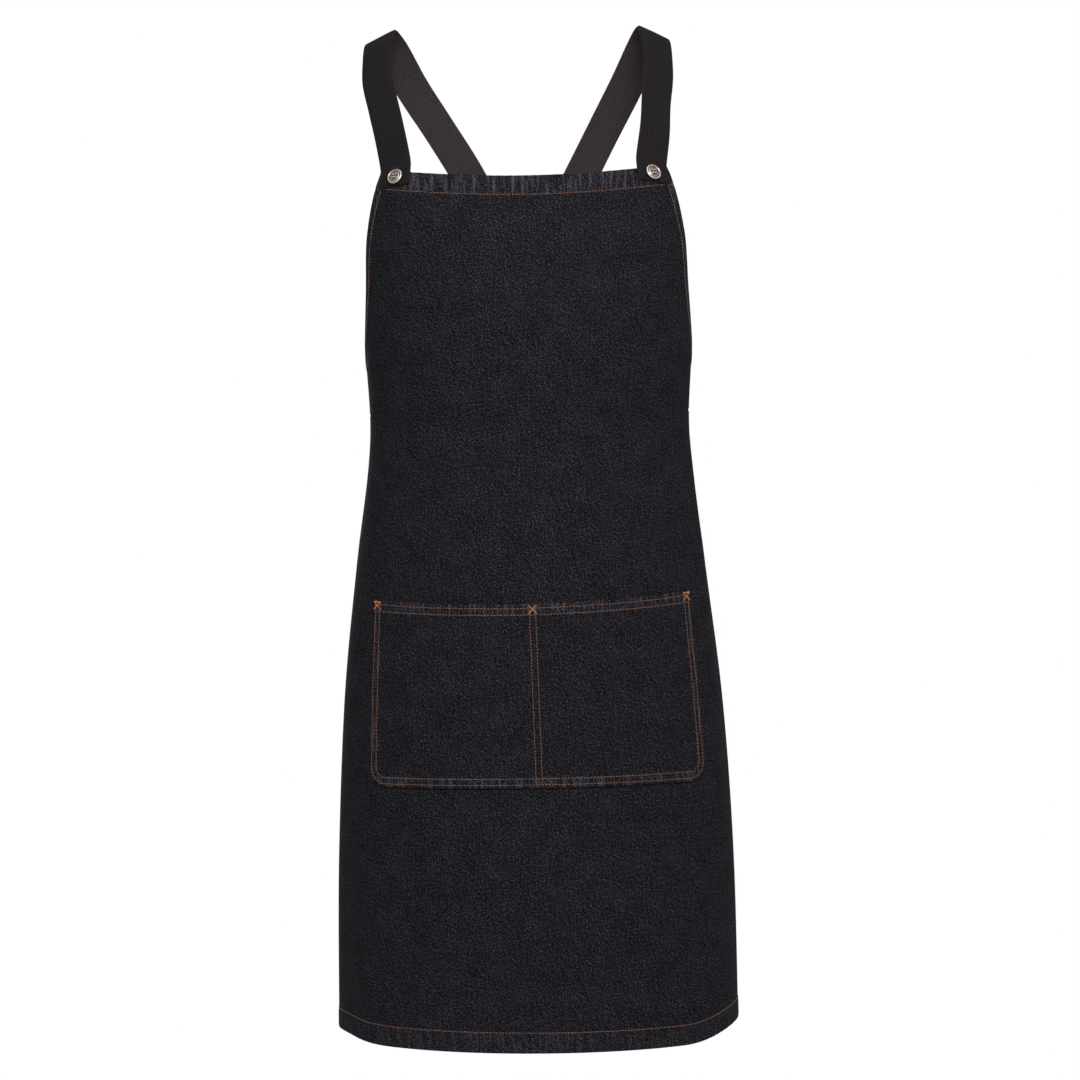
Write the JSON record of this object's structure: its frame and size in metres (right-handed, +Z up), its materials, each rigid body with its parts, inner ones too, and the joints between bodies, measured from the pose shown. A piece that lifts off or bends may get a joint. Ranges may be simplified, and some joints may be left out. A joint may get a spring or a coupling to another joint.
{
  "type": "cross-back bib apron",
  "caption": "Black denim bib apron with a divided patch pocket and tape straps that button to the bib and cross at the back.",
  "frame": {"origin": "midway between the two strap crests, level with their highest points, where the wearer's shoulders carry the straps", "axes": "+Z up, -Y the way the wearer faces, +X to the right of someone who looks at the front"},
  "size_m": [0.435, 0.2738, 1.0916],
  "materials": {
    "black_denim": "matte",
    "black_tape": "matte",
    "orange_thread": "satin",
    "brown_thread": "satin",
    "antique_nickel": "satin",
    "brass": "satin",
    "insert_plastic": "matte",
    "nail_aluminium": "satin"
  },
  "bodies": {
    "apron": {"apron_panel": "black_denim", "patch_pocket": "black_denim", "pocket_bartacks": "orange_thread", "left_strap_rear": "black_tape", "right_strap_rear": "black_tape", "rear_strap_stitching": "brown_thread", "button_shanks": "brass", "button_inserts": "insert_plastic", "button_nails": "nail_aluminium"},
    "left_strap": {"left_strap_front": "black_tape"},
    "right_strap": {"right_strap_front": "black_tape"},
    "left_cap": {"left_button_cap": "antique_nickel"},
    "right_cap": {"right_button_cap": "antique_nickel"}
  },
  "joints": [
    {"name": "left_strap_fold", "type": "hinge", "parent": "apron", "child": "left_strap", "pos_m": [-0.15032, 0.03612, -0.00667], "axis": [-0.8662, 0.3225, -0.3818], "range_deg": [0, 110]},
    {"name": "right_strap_fold", "type": "hinge", "parent": "apron", "child": "right_strap", "pos_m": [0.15032, 0.03612, -0.00667], "axis": [-0.8662, -0.3225, 0.3818], "range_deg": [0, 110]},
    {"name": "left_button_swivel", "type": "hinge", "parent": "apron", "child": "left_cap", "pos_m": [-0.1345, -0.06732, -0.177], "axis": [-0.4531, -0.7865, 0.4196], "continuous": true},
    {"name": "right_button_swivel", "type": "hinge", "parent": "apron", "child": "right_cap", "pos_m": [0.1345, -0.06732, -0.177], "axis": [0.4531, -0.7865, 0.4196], "continuous": true}
  ]
}
